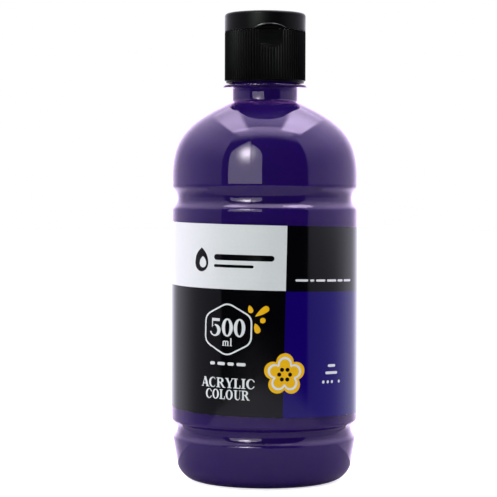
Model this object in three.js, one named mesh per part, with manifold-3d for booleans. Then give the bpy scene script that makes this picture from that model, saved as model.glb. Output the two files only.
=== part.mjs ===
// A 500 ml clear squeeze bottle of artists' paint, with a screw-on flip-top cap.
// Units are millimetres and +Z is up. The origin is the middle of the base, on the plane it stands on.
// The cap's thumb recess faces -Y, and the lid's living hinge is at the back, on +Y.

import Module from 'manifold-3d';
import {
  BoxGeometry,
  BufferAttribute,
  BufferGeometry,
  CubicBezierCurve,
  ExtrudeGeometry,
  Group,
  LatheGeometry,
  Matrix4,
  Mesh,
  MeshStandardMaterial,
  Path,
  Shape,
  Vector2,
  Vector3,
} from 'three';
import { mergeVertices } from 'three/addons/utils/BufferGeometryUtils.js';

// ---- Driving dimensions ----

const FACETS = 40;
const FACET_ANGLE = (2 * Math.PI) / FACETS;
const CUTTER_STEPS = 6;

// Bottle body, from the base up.
const BODY_RADIUS = 36.3;
const WALL = 0.8;
const PUSH_UP = 5;
const PUSH_UP_FLATNESS = 0.7;
const CONTACT_INNER_RADIUS = 24.2;
const CONTACT_OUTER_RADIUS = 25.7;
const BASE_CORNER_RADIUS = 8.6;
const BASE_TAPER = 0.19;
const BASE_LIP_RADIUS = 35.7;
const GROOVE_RADIUS = 34.2;
const LOWER_GROOVE_HEIGHT = 20.3;
const UPPER_GROOVE_HEIGHT = 110;
const LOWER_GROOVE_HALF_WIDTH = 3.9;
const UPPER_GROOVE_HALF_WIDTH = 4.7;
const GROOVE_EDGE_SOFTNESS = 0.3;
const GROOVE_FLOOR_SOFTNESS = 0.6;

// The dome leaves the body straight up and comes in to the neck on a gentle slope.
const DOME_FOOT_HEIGHT = 118;
const DOME_FOOT_PULL = 16.2;
const DOME_TOP_HEIGHT = 147.1;
const DOME_TOP_PULL = 17;
const DOME_TOP_SLOPE = 0.42;

// Neck and screw finish: the 28 mm size, with one and a half turns of thread.
const NECK_RADIUS = 12.8;
const NECK_FOOT_FILLET = 0.9;
const RING_RADIUS = 16.5;
const RING_BOTTOM = 152.4;
const RING_TOP = 153.9;
const RING_EDGE = 0.35;
const FINISH_RADIUS = 12.65;
const BORE_RADIUS = 10.85;
const MOUTH_HEIGHT = 171.5;
const THREAD_PITCH = 25.4 / 6;
const THREAD_TURNS = 1.5;
const THREAD_FOOT_WIDTH = 2.1;
const THREAD_TIP_WIDTH = 0.9;
const THREAD_START_HEIGHT = 163;
const THREAD_FACETS = 24;
const THREAD_SUNK = 0.3;
const THREAD_RUN_OUT_ANGLE = 0.25;
const THREAD_END_SHARE = 0.2;
const BOTTLE_THREAD_RADIUS = 13.7;

// Cap and lid.
const CAP_RADIUS = 15.75;
const CAP_BORE_RADIUS = 14.1;
const CAP_THREAD_RADIUS = 13;
const CAP_BOTTOM = 154.7;
const PLAIN_BAND_RADIUS = 15.2;
const RIB_BOTTOM = 155.6;
const RIB_COUNT = 90;
const RIB_DEPTH = 0.35;
const SLEEVE_HOLE_STEPS = 18;
const DECK_UNDERSIDE = 173.2;
const DECK_TOP = 174.5;
const ORIFICE_RADIUS = 1.9;
const SPOUT_TIP_RADIUS = 3;
const SPOUT_FOOT_RADIUS = 3.8;
const SPOUT_TOP = 177.8;
const LID_BOTTOM = 174.8;
const LID_TOP = 181.7;
const LID_EDGE = 0.9;
const LID_INSIDE_RADIUS = 13.2;
const LID_CEILING = 180.2;
const PIN_RADIUS = 1.45;
const PIN_TIP_RADIUS = 1;
const PIN_BOTTOM = 176;
const PIN_POINT = 0.4;

// Thumb recess: a scoop whose floor runs out to the surface on an arc at its foot.
const RECESS_FLOOR = 14.75;
const RECESS_ARC_TOP = 170.8;
const RECESS_ARC_RADIUS = 7.7;
const RECESS_HALF_WIDTH = 6.2;
const RECESS_SIDE_HEIGHT = 174.9;
const RECESS_CROWN_HEIGHT = 176.3;

// Living hinge: one thin web between two straps, in a flat cut across the back of cap and lid.
const HINGE_SEAT = 15;
const HINGE_CUT_HALF_WIDTH = 6.4;
const HINGE_CUT_HEIGHT = 6.2;
const HINGE_HEIGHT = (DECK_TOP + LID_BOTTOM) / 2;
const HINGE_GAP = 0.1;
const WEB_SIZE = { width: 5, depth: 0.35, height: 2.8 };
const STRAP_SIZE = { width: 2, depth: 0.5, height: 5.2 };
const STRAP_OFFSET = 4.6;

// Seals, paint and label.
const SEAL_GAP = 0.05;
const FOIL_RADIUS = 12.4;
const FOIL_THICKNESS = 0.2;
const GASKET_OUTER_RADIUS = 13.6;
const GASKET_INNER_RADIUS = 9.5;
const GASKET_THICKNESS = 1;
const GASKET_GAP = 0.1;
const PAINT_GAP = 0.1;
const PAINT_TOP = 168;
const LABEL_GAP = 0.06;
const LABEL_THICKNESS = 0.2;
const LABEL_BOTTOM = 28.1;
const LABEL_TOP = 99.75;
const LABEL_SLOPE = 0.022;
const LABEL_CENTRE = -0.136;

// ---- Solids ----

const wasm = await Module();
wasm.setup();

function withoutSlivers(geometry) {
  const corners = geometry.index.array;
  const kept = [];
  for (let i = 0; i < corners.length; i += 3) {
    const [a, b, c] = corners.slice(i, i + 3);
    if (a !== b && b !== c && c !== a) kept.push(a, b, c);
  }
  return new Uint32Array(kept);
}

function toSolid(geometry) {
  geometry.deleteAttribute('normal');
  geometry.deleteAttribute('uv');
  const merged = mergeVertices(geometry);
  const vertProperties = merged.attributes.position.array;
  return new wasm.Manifold(new wasm.Mesh({ numProp: 3, vertProperties, triVerts: withoutSlivers(merged) }));
}

function toGeometry(solid) {
  const { vertProperties, triVerts } = solid.getMesh();
  const geometry = new BufferGeometry();
  geometry.setAttribute('position', new BufferAttribute(vertProperties, 3));
  geometry.setIndex(new BufferAttribute(triVerts, 1));
  geometry.computeVertexNormals();
  return geometry;
}

// Turns an outline of (radius, height) points about the Z axis, with one facet square to the front.
function revolve(points) {
  const geometry = new LatheGeometry(points, FACETS, FACET_ANGLE / 2);
  return geometry.rotateX(Math.PI / 2);
}

function outline(...pairs) {
  return pairs.map(([radius, height]) => new Vector2(radius, height));
}

// Moves every point of an open outline inward, square to its neighbours; a point on the axis stays on it.
function inset(points, distance) {
  return points.map((point, i) => {
    const before = points[Math.max(i - 1, 0)];
    const after = points[Math.min(i + 1, points.length - 1)];
    const direction = after.clone().sub(before).normalize();
    const radius = point.x === 0 ? 0 : point.x - direction.y * distance;
    return new Vector2(radius, point.y + direction.x * distance);
  });
}

// Extrudes a shape drawn in (y, z) along X, centred on x = 0.
function extrudeAcross(shape, depth) {
  const geometry = new ExtrudeGeometry(shape, { depth, bevelEnabled: false, curveSegments: CUTTER_STEPS });
  const axes = new Matrix4().makeBasis(new Vector3(0, 1, 0), new Vector3(0, 0, 1), new Vector3(1, 0, 0));
  return geometry.applyMatrix4(axes).translate(-depth / 2, 0, 0);
}

// Extrudes a shape drawn in (x, z) from the front plane y = -near back to y = -far.
function extrudeInward(shape, near, far) {
  const depth = near - far;
  const geometry = new ExtrudeGeometry(shape, { depth, bevelEnabled: false, curveSegments: CUTTER_STEPS });
  return geometry.rotateX(Math.PI / 2).translate(0, -far, 0);
}

function block(width, depth, height) {
  return new BoxGeometry(width, depth, height);
}

// A trapezoid ridge wound round the Z axis: a long box bent into a right-handed helix, run out at both ends.
function threadRidge(footRadius, tipRadius, startHeight) {
  const sweep = THREAD_TURNS * 2 * Math.PI;
  const ridge = new BoxGeometry(sweep, 1, 1, THREAD_TURNS * THREAD_FACETS, 1, 1);
  const corners = ridge.attributes.position;
  for (let i = 0; i < corners.count; i += 1) {
    const angle = corners.getX(i) + sweep / 2;
    const atTip = corners.getZ(i) > 0;
    const strength = Math.min(angle, sweep - angle, THREAD_RUN_OUT_ANGLE) / THREAD_RUN_OUT_ANGLE;
    const share = THREAD_END_SHARE + (1 - THREAD_END_SHARE) * strength;
    const radius = atTip ? footRadius + (tipRadius - footRadius) * share : footRadius;
    const width = atTip ? THREAD_TIP_WIDTH : THREAD_FOOT_WIDTH;
    const height = startHeight + corners.getY(i) * width + (THREAD_PITCH * angle) / (2 * Math.PI);
    corners.setXYZ(i, radius * Math.cos(angle), radius * Math.sin(angle), height);
  }
  return ridge;
}

// ---- Bottle ----

// Half of the body's outline, from the middle of the base up to the foot of the neck.
function bodyOutline(curveSteps) {
  const path = new Path();
  path.moveTo(0, PUSH_UP);
  path.quadraticCurveTo(CONTACT_INNER_RADIUS * PUSH_UP_FLATNESS, PUSH_UP, CONTACT_INNER_RADIUS, 0);
  path.lineTo(CONTACT_OUTER_RADIUS, 0);
  path.absarc(CONTACT_OUTER_RADIUS, BASE_CORNER_RADIUS, BASE_CORNER_RADIUS, -Math.PI / 2, -BASE_TAPER);
  path.lineTo(BASE_LIP_RADIUS, LOWER_GROOVE_HEIGHT - LOWER_GROOVE_HALF_WIDTH);
  addGroove(path, BASE_LIP_RADIUS, LOWER_GROOVE_HEIGHT, LOWER_GROOVE_HALF_WIDTH);
  path.lineTo(BODY_RADIUS, UPPER_GROOVE_HEIGHT - UPPER_GROOVE_HALF_WIDTH);
  addGroove(path, BODY_RADIUS, UPPER_GROOVE_HEIGHT, UPPER_GROOVE_HALF_WIDTH);
  return [...path.getPoints(curveSteps), ...domeCurve().getPoints(2 * curveSteps)];
}

function domeCurve() {
  const topRadius = NECK_RADIUS + NECK_FOOT_FILLET;
  return new CubicBezierCurve(
    new Vector2(BODY_RADIUS, DOME_FOOT_HEIGHT),
    new Vector2(BODY_RADIUS, DOME_FOOT_HEIGHT + DOME_FOOT_PULL),
    new Vector2(
      topRadius + DOME_TOP_PULL * Math.cos(DOME_TOP_SLOPE),
      DOME_TOP_HEIGHT - DOME_TOP_PULL * Math.sin(DOME_TOP_SLOPE),
    ),
    new Vector2(topRadius, DOME_TOP_HEIGHT),
  );
}

// A rounded V pressed into the body, which is at startRadius below it and at the full radius above it.
function addGroove(path, startRadius, height, halfWidth) {
  const shoulder = halfWidth * GROOVE_EDGE_SOFTNESS;
  const valley = halfWidth * GROOVE_FLOOR_SOFTNESS;
  const low = height - halfWidth;
  const high = height + halfWidth;
  path.bezierCurveTo(startRadius, low + shoulder, GROOVE_RADIUS, height - valley, GROOVE_RADIUS, height);
  path.bezierCurveTo(GROOVE_RADIUS, height + valley, BODY_RADIUS, high - shoulder, BODY_RADIUS, high);
}

// The neck, the support ring and the finish, from the fillet at the neck's foot over the mouth to the bore.
function neckOutline() {
  const footHeight = DOME_TOP_HEIGHT + NECK_FOOT_FILLET;
  return outline(
    [NECK_RADIUS, footHeight],
    [NECK_RADIUS, RING_BOTTOM],
    [RING_RADIUS - RING_EDGE, RING_BOTTOM + RING_EDGE],
    [RING_RADIUS, RING_BOTTOM + 2 * RING_EDGE],
    [RING_RADIUS, RING_TOP - RING_EDGE],
    [RING_RADIUS - RING_EDGE, RING_TOP],
    [FINISH_RADIUS, RING_TOP],
    [FINISH_RADIUS, MOUTH_HEIGHT - RING_EDGE],
    [FINISH_RADIUS - RING_EDGE, MOUTH_HEIGHT],
    [BORE_RADIUS, MOUTH_HEIGHT],
    [BORE_RADIUS, footHeight],
  );
}

function bottle() {
  const inside = inset(bodyOutline(2), WALL).reverse();
  const shell = toSolid(revolve([...bodyOutline(3), ...neckOutline(), ...inside]));
  const ridge = threadRidge(FINISH_RADIUS - THREAD_SUNK, BOTTLE_THREAD_RADIUS, THREAD_START_HEIGHT);
  return toGeometry(shell.add(toSolid(ridge)));
}

function paintFill() {
  const side = inset(bodyOutline(2), WALL + PAINT_GAP);
  const neckRadius = BORE_RADIUS - PAINT_GAP;
  const top = outline([neckRadius, side.at(-1).y + NECK_FOOT_FILLET], [neckRadius, PAINT_TOP], [0, PAINT_TOP]);
  return revolve([...side, ...top]);
}

function foilSeal() {
  const bottom = MOUTH_HEIGHT + SEAL_GAP;
  const top = bottom + FOIL_THICKNESS;
  return revolve(outline([0, bottom], [FOIL_RADIUS, bottom], [FOIL_RADIUS, top], [0, top]));
}

// The label is a strip wound round the body and put on a little askew, with one facet left bare at the back.
function wrapLabel() {
  const inner = BODY_RADIUS + LABEL_GAP;
  const strip = new Shape();
  const corners = Array.from({ length: FACETS }, (_, i) => (i + 0.5) * FACET_ANGLE - Math.PI);
  const at = (radius, angle) => new Vector2(radius * Math.sin(angle), -radius * Math.cos(angle));
  strip.setFromPoints([
    ...corners.map((angle) => at(inner + LABEL_THICKNESS, angle)),
    ...corners.toReversed().map((angle) => at(inner, angle)),
  ]);
  const geometry = new ExtrudeGeometry(strip, { depth: LABEL_TOP - LABEL_BOTTOM, bevelEnabled: false });
  const points = geometry.attributes.position;
  for (let i = 0; i < points.count; i += 1) {
    const angle = Math.atan2(points.getX(i), -points.getY(i));
    points.setZ(i, points.getZ(i) - LABEL_SLOPE * inner * (angle - LABEL_CENTRE));
  }
  return geometry.translate(0, 0, LABEL_BOTTOM);
}

// ---- Cap ----

function ribSleeve() {
  const tooth = (2 * Math.PI) / RIB_COUNT;
  const sleeve = new Shape();
  const points = [];
  for (let i = 0; i < RIB_COUNT; i += 1) {
    const tip = i * tooth;
    const valley = tip + tooth / 2;
    const valleyRadius = CAP_RADIUS - RIB_DEPTH;
    points.push(new Vector2(CAP_RADIUS * Math.cos(tip), CAP_RADIUS * Math.sin(tip)));
    points.push(new Vector2(valleyRadius * Math.cos(valley), valleyRadius * Math.sin(valley)));
  }
  sleeve.setFromPoints(points);
  const hole = new Path();
  hole.absarc(0, 0, (CAP_RADIUS + CAP_BORE_RADIUS) / 2, 0, 2 * Math.PI);
  sleeve.holes.push(hole);
  const options = { depth: DECK_TOP - RIB_BOTTOM, bevelEnabled: false, curveSegments: SLEEVE_HOLE_STEPS };
  return new ExtrudeGeometry(sleeve, options).translate(0, 0, RIB_BOTTOM);
}

function capCore() {
  return revolve(
    outline(
      [CAP_BORE_RADIUS, CAP_BOTTOM],
      [PLAIN_BAND_RADIUS, CAP_BOTTOM],
      [PLAIN_BAND_RADIUS, DECK_TOP],
      [SPOUT_FOOT_RADIUS, DECK_TOP],
      [SPOUT_TIP_RADIUS, SPOUT_TOP],
      [ORIFICE_RADIUS, SPOUT_TOP],
      [ORIFICE_RADIUS, DECK_UNDERSIDE],
      [CAP_BORE_RADIUS, DECK_UNDERSIDE],
      [CAP_BORE_RADIUS, CAP_BOTTOM],
    ),
  );
}

// The scoop under the lid's lip: flat-floored at the top, with its foot on an arc.
function scoopCutter() {
  const clear = CAP_RADIUS + 2 * RECESS_ARC_RADIUS;
  const side = new Shape();
  side.moveTo(-RECESS_FLOOR, LID_BOTTOM);
  side.lineTo(-RECESS_FLOOR, RECESS_ARC_TOP);
  side.absarc(-RECESS_FLOOR - RECESS_ARC_RADIUS, RECESS_ARC_TOP, RECESS_ARC_RADIUS, 0, -Math.PI / 2, true);
  side.lineTo(-clear, RECESS_ARC_TOP - RECESS_ARC_RADIUS);
  side.lineTo(-clear, LID_BOTTOM);
  return extrudeAcross(side, 2 * CAP_RADIUS);
}

// The same recess in the lid, where it ends under an arched lip.
function lipCutter() {
  const front = new Shape();
  front.moveTo(-RECESS_HALF_WIDTH, DECK_TOP);
  front.lineTo(RECESS_HALF_WIDTH, DECK_TOP);
  front.lineTo(RECESS_HALF_WIDTH, RECESS_SIDE_HEIGHT);
  const crown = 2 * RECESS_CROWN_HEIGHT - RECESS_SIDE_HEIGHT;
  front.quadraticCurveTo(0, crown, -RECESS_HALF_WIDTH, RECESS_SIDE_HEIGHT);
  return extrudeInward(front, 2 * CAP_RADIUS, RECESS_FLOOR);
}

// The flat at the back that the living hinge lies on, cut from both the cap and the lid.
function hingeCutter() {
  const depth = CAP_RADIUS;
  const cut = block(2 * HINGE_CUT_HALF_WIDTH, depth, HINGE_CUT_HEIGHT);
  return cut.translate(0, HINGE_SEAT + depth / 2, HINGE_HEIGHT);
}

function capBase() {
  const startHeight = THREAD_START_HEIGHT - THREAD_PITCH / 2;
  const ridge = threadRidge(CAP_BORE_RADIUS + THREAD_SUNK, CAP_THREAD_RADIUS, startHeight);
  // The ridge's foot is outside its tip here, so the bent box comes out inside out until it is turned over.
  ridge.index.array.reverse();
  const moulding = toSolid(capCore()).add(toSolid(ribSleeve())).add(toSolid(ridge));
  return toGeometry(moulding.subtract(toSolid(scoopCutter())).subtract(toSolid(hingeCutter())));
}

function flipLid() {
  const shell = revolve(
    outline(
      [0, PIN_BOTTOM],
      [PIN_TIP_RADIUS, PIN_BOTTOM],
      [PIN_RADIUS, PIN_BOTTOM + PIN_POINT],
      [PIN_RADIUS, LID_CEILING],
      [LID_INSIDE_RADIUS, LID_CEILING],
      [LID_INSIDE_RADIUS, LID_BOTTOM],
      [CAP_RADIUS, LID_BOTTOM],
      [CAP_RADIUS, LID_TOP - LID_EDGE],
      [CAP_RADIUS - LID_EDGE, LID_TOP],
      [0, LID_TOP],
    ),
  );
  return toGeometry(toSolid(shell).subtract(toSolid(lipCutter())).subtract(toSolid(hingeCutter())));
}

function hingeStrip({ width, depth, height }, x) {
  return block(width, depth, height).translate(x, HINGE_SEAT + HINGE_GAP + depth / 2, HINGE_HEIGHT);
}

function capGasket() {
  const bottom = MOUTH_HEIGHT + SEAL_GAP + FOIL_THICKNESS + GASKET_GAP;
  const top = bottom + GASKET_THICKNESS;
  return revolve(
    outline(
      [GASKET_INNER_RADIUS, bottom],
      [GASKET_OUTER_RADIUS, bottom],
      [GASKET_OUTER_RADIUS, top],
      [GASKET_INNER_RADIUS, top],
      [GASKET_INNER_RADIUS, bottom],
    ),
  );
}

// ---- Assembly ----

function piece(name, geometry, { color, roughness, metalness = 0, opacity = 1 }) {
  const material = new MeshStandardMaterial({ color, roughness, metalness, opacity, transparent: opacity < 1 });
  const mesh = new Mesh(geometry, material);
  mesh.name = name;
  return mesh;
}

const CLEAR_PLASTIC = { color: 0xe6e2f0, roughness: 0.06, opacity: 0.3 };
const PURPLE_PAINT = { color: 0x2a0b6e, roughness: 0.35 };
const LABEL_FILM = { color: 0x0c0c10, roughness: 0.3 };
const LID_PLASTIC = { color: 0x111113, roughness: 0.28 };
const CAP_PLASTIC = { color: 0x101012, roughness: 0.45 };
const SEAL_FOIL = { color: 0xc9cbd0, roughness: 0.3, metalness: 1 };
const SEAL_FOAM = { color: 0xf2f2ee, roughness: 0.8 };

const filledBottle = new Group();
filledBottle.add(
  piece('bottle', bottle(), CLEAR_PLASTIC),
  piece('paint_fill', paintFill(), PURPLE_PAINT),
  piece('wrap_label', wrapLabel(), LABEL_FILM),
  piece('foil_seal', foilSeal(), SEAL_FOIL),
);

const flipTopCap = new Group();
flipTopCap.add(
  piece('cap_gasket', capGasket(), SEAL_FOAM),
  piece('cap_base', capBase(), CAP_PLASTIC),
  piece('flip_lid', flipLid(), LID_PLASTIC),
  piece('hinge_web', hingeStrip(WEB_SIZE, 0), CAP_PLASTIC),
  piece('hinge_strap_left', hingeStrip(STRAP_SIZE, -STRAP_OFFSET), CAP_PLASTIC),
  piece('hinge_strap_right', hingeStrip(STRAP_SIZE, STRAP_OFFSET), CAP_PLASTIC),
);

const paintBottle = new Group();
paintBottle.add(filledBottle, flipTopCap);

export default paintBottle;
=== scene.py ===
"""The looks of a 500 ml clear squeeze bottle of purple artists' paint with a black flip-top cap.

Outlines are (radius, height) pairs in millimetres, turned about the Z axis. Label art is drawn in
millimetres too, u to the right round the body and v upwards, and then wrapped round the bottle.
"""

import math

import bpy
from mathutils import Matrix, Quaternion, Vector
from mathutils.geometry import delaunay_2d_cdt


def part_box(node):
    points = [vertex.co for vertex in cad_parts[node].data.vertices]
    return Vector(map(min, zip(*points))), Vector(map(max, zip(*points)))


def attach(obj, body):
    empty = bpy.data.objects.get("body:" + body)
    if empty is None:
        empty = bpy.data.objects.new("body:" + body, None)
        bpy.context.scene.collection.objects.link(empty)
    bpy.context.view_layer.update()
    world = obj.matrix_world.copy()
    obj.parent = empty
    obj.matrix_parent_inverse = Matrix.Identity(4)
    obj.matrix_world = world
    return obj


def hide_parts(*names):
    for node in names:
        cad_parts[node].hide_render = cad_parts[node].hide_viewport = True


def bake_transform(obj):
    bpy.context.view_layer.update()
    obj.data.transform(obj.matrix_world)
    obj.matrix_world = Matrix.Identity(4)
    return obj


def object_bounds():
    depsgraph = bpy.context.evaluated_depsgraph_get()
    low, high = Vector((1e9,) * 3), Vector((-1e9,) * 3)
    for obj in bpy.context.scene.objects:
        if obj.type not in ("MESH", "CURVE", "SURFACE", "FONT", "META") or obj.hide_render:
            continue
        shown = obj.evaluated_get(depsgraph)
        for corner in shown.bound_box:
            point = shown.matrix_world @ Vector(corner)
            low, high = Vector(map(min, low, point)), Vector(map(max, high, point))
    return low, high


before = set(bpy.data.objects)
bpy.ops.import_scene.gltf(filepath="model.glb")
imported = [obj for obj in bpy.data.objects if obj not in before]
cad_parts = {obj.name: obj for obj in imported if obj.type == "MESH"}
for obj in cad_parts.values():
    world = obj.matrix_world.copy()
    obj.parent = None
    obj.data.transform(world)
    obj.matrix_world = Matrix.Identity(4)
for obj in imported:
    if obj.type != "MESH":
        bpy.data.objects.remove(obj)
cad_low, cad_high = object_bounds()

MM = 0.001
FACETS = 40
FACET_HALF_ANGLE = math.pi / FACETS
SHARP_ANGLE = math.radians(35)
FILM_SHARP_ANGLE = math.radians(60)
LONGEST_ROUNDED_SHARE = 0.45


def low_mm(node):
    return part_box(node)[0] / MM


def high_mm(node):
    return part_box(node)[1] / MM


# ---- Sizes, from the CAD frame where it holds them ----

BODY_RADIUS = high_mm("bottle").x / math.cos(FACET_HALF_ANGLE)
WALL = 0.8
PUSH_UP = 5
PUSH_UP_FLATNESS = 0.7
CONTACT_INNER_RADIUS = 24.2
CONTACT_OUTER_RADIUS = 25.7
BASE_CORNER_RADIUS = 8.6
BASE_TAPER = 0.19
BASE_LIP_RADIUS = 35.7
GROOVE_RADIUS = 34.2
LOWER_GROOVE_HEIGHT = 20.3
UPPER_GROOVE_HEIGHT = 110
LOWER_GROOVE_HALF_WIDTH = 3.9
UPPER_GROOVE_HALF_WIDTH = 4.7
GROOVE_EDGE_SOFTNESS = 0.3
GROOVE_FLOOR_SOFTNESS = 0.6
GROOVE_SUPPORT = 0.5
DOME_FOOT_HEIGHT = 118
DOME_FOOT_PULL = 16.2
DOME_TOP_HEIGHT = 147.1
DOME_TOP_PULL = 17
DOME_TOP_SLOPE = 0.42
NECK_RADIUS = 12.8
NECK_FOOT_FILLET = 0.9
RING_RADIUS = 16.5
RING_BOTTOM = 152.4
RING_TOP = 153.9
RING_UNDERSIDE_RISE = 0.3
RING_TOP_FALL = 0.2
NECK_CORNER = 0.45
NECK_FILLET_PULL = (0.1, 0.2)
FINISH_RADIUS = 12.65
BORE_RADIUS = 10.85
MOUTH_HEIGHT = high_mm("bottle").z
PAINT_TOP = high_mm("paint_fill").z
PAINT_CONTACT = 0.03
PAINT_TOP_CORNER = 0.6
THREAD_PITCH = 25.4 / 6
THREAD_TURNS = 1.5
THREAD_START_HEIGHT = 163
THREAD_FOOT_WIDTH = 2.1
THREAD_TIP_WIDTH = 0.9
THREAD_SUNK = 0.3
THREAD_RUN_OUT_ANGLE = 0.25
THREAD_END_SHARE = 0.2
BOTTLE_THREAD_RADIUS = 13.7

CAP_RADIUS = high_mm("cap_base").x
CAP_BOTTOM = low_mm("cap_base").z
CAP_BORE_RADIUS = 14.1
CAP_THREAD_RADIUS = 13
PLAIN_BAND_RADIUS = 15.2
RIB_BOTTOM = 155.6
RIB_COUNT = 90
RIB_DEPTH = 0.35
RIB_SHARPNESS = 1.5
RIB_STEP_HEIGHT = 0.1
RIB_LEAST_RADIUS = PLAIN_BAND_RADIUS + 0.2
CAP_CORNER = 0.15
DECK_UNDERSIDE = 173.2
DECK_TOP = 174.5
ORIFICE_RADIUS = 1.9
SPOUT_TIP_RADIUS = 3
SPOUT_FOOT_RADIUS = 3.8
SPOUT_TOP = high_mm("cap_base").z
LID_BOTTOM = low_mm("flip_lid").z
LID_TOP = high_mm("flip_lid").z
LID_EDGE = 1.1
LID_INSIDE_RADIUS = 13.2
LID_CEILING = 180.2
PIN_RADIUS = 1.45
PIN_TIP_RADIUS = 1
PIN_BOTTOM = 176
PIN_TAPER_HEIGHT = 0.4
RECESS_FLOOR = 14.75
RECESS_ARC_TOP = 170.8
RECESS_ARC_RADIUS = 7.7
RECESS_HALF_WIDTH = 6.2
RECESS_SIDE_HEIGHT = 174.9
RECESS_CROWN_HEIGHT = 176.3
LIP_HEIGHT = 0.8
LIP_REACH = 0.5
LIP_EDGE = 0.18
LIP_SUNK = 0.15
LIP_END_FADE = 0.4
HINGE_SEAT = 15
HINGE_CUT_HALF_WIDTH = 6.4
HINGE_CUT_HEIGHT = 6.2
HINGE_HEIGHT = (DECK_TOP + LID_BOTTOM) / 2
HINGE_ROWS = 16
HINGE_WAIST = 0.35
HINGE_WAIST_SPREAD = 0.14
GASKET_INNER_RADIUS = 9.5
GASKET_CORNER = 0.12
FOIL_CORNER = 0.05
FOIL_DISH_DEPTH = 0.05
FOIL_DISH_MARGIN = 0.6

LABEL_OUTER_RADIUS = high_mm("wrap_label").x / math.cos(FACET_HALF_ANGLE)
LABEL_THICKNESS = 0.2
LABEL_BOTTOM = 28.1
LABEL_TOP = 99.75
LABEL_TILT = 0.022
LABEL_CENTRE = -0.136

TURN_STEPS = 144
RIB_STEPS = 8
SEAM_ANGLES = (-0.29, math.pi - 0.29)
SEAM_WIDTH = 0.35
SEAM_HEIGHT = 0.02
SEAM_LEAST_RADIUS = CONTACT_OUTER_RADIUS * 0.5


# ---- Curves ----


def bezier(controls, steps):
    """Points along the curve that the control points pull, both ends included."""
    points = []
    for i in range(steps + 1):
        row = [Vector(c) for c in controls]
        while len(row) > 1:
            row = [a.lerp(b, i / steps) for a, b in zip(row, row[1:])]
        points.append(tuple(row[0]))
    return points


def arc(centre, radius, start, end, steps):
    points = []
    for i in range(steps + 1):
        angle = start + (end - start) * i / steps
        points.append((centre[0] + radius * math.cos(angle), centre[1] + radius * math.sin(angle)))
    return points


def softened(points, cut, steps=3):
    """Rounds the corners inside an open outline, each over at most the length cut on both sides."""
    result = [points[0]]
    for before, corner, after in zip(points, points[1:], points[2:]):
        corner = Vector(corner)
        to_before = Vector(before) - corner
        to_after = Vector(after) - corner
        a = corner + to_before.normalized() * min(cut, to_before.length * LONGEST_ROUNDED_SHARE)
        b = corner + to_after.normalized() * min(cut, to_after.length * LONGEST_ROUNDED_SHARE)
        result.extend(bezier((a, corner, b), steps))
    result.append(points[-1])
    return result


def inset(points, distance):
    """Moves an open outline inward, square to itself; a point on the axis stays on it."""
    result = []
    for i, (radius, height) in enumerate(points):
        before = Vector(points[max(i - 1, 0)])
        after = Vector(points[min(i + 1, len(points) - 1)])
        direction = (after - before).normalized()
        moved = 0 if radius == 0 else radius - direction.y * distance
        result.append((moved, height + direction.x * distance))
    return result


# ---- Meshes ----


def mesh_object(name, vertices_mm, faces, sharp_angle=SHARP_ANGLE):
    mesh = bpy.data.meshes.new(name)
    mesh.from_pydata([Vector(v) * MM for v in vertices_mm], [], faces)
    mesh.validate()
    mesh.shade_smooth()
    mesh.set_sharp_from_angle(angle=sharp_angle)
    obj = bpy.data.objects.new(name, mesh)
    bpy.context.scene.collection.objects.link(obj)
    return obj


def even_angles(steps):
    return [2 * math.pi * i / steps for i in range(steps)]


def turned(name, outline, angles=None, shape=None, closed=False):
    """Turns an outline about the Z axis. An outline that isn't closed starts and ends on the axis.

    Angles run from -Y towards +X. shape(radius, height, angle) may return another radius.
    """
    angles = angles or even_angles(TURN_STEPS)
    count = len(angles)
    vertices, rings, faces = [], [], []
    for radius, height in outline:
        first = len(vertices)
        if radius == 0:
            vertices.append((0, 0, height))
            rings.append([first] * count)
            continue
        for angle in angles:
            r = shape(radius, height, angle) if shape else radius
            vertices.append((r * math.sin(angle), -r * math.cos(angle), height))
        rings.append(list(range(first, first + count)))
    pairs = list(zip(rings, rings[1:]))
    if closed:
        pairs.append((rings[-1], rings[0]))
    for lower, upper in pairs:
        for i in range(count):
            j = (i + 1) % count
            corners = [lower[i], lower[j], upper[j], upper[i]]
            face = [c for k, c in enumerate(corners) if c != corners[k - 1]]
            if len(face) > 2:
                faces.append(face)
    return mesh_object(name, vertices, faces)


def prism(name, base, offset):
    """A closed solid between a flat polygon of 3D points and its copy moved by offset."""
    count = len(base)
    vertices = [Vector(p) for p in base] + [Vector(p) + Vector(offset) for p in base]
    sides = [[i, (i + 1) % count, count + (i + 1) % count, count + i] for i in range(count)]
    return mesh_object(name, vertices, [list(range(count))[::-1], list(range(count, 2 * count)), *sides])


def thread_ridge(name, foot_radius, tip_radius, start_height):
    """A trapezoid ridge on a right-handed helix, run out at both ends."""
    sweep = THREAD_TURNS * 2 * math.pi
    steps = round(THREAD_TURNS * TURN_STEPS / 2)
    vertices, faces = [], []
    for i in range(steps + 1):
        angle = sweep * i / steps
        strength = min(angle, sweep - angle, THREAD_RUN_OUT_ANGLE) / THREAD_RUN_OUT_ANGLE
        share = THREAD_END_SHARE + (1 - THREAD_END_SHARE) * strength
        tip = foot_radius + (tip_radius - foot_radius) * share
        middle = start_height + THREAD_PITCH * angle / (2 * math.pi)
        for radius, half in ((foot_radius, THREAD_FOOT_WIDTH / 2), (tip, THREAD_TIP_WIDTH / 2)):
            vertices.append((radius * math.cos(angle), radius * math.sin(angle), middle - half))
            vertices.append((radius * math.cos(angle), radius * math.sin(angle), middle + half))
    loop = (0, 2, 3, 1)
    for i in range(steps):
        for a, b in zip(loop, loop[1:] + loop[:1]):
            faces.append([4 * i + a, 4 * i + b, 4 * (i + 1) + b, 4 * (i + 1) + a])
    faces.append([0, 1, 3, 2])
    faces.append([4 * steps + k for k in loop])
    return mesh_object(name, vertices, faces)


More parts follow.
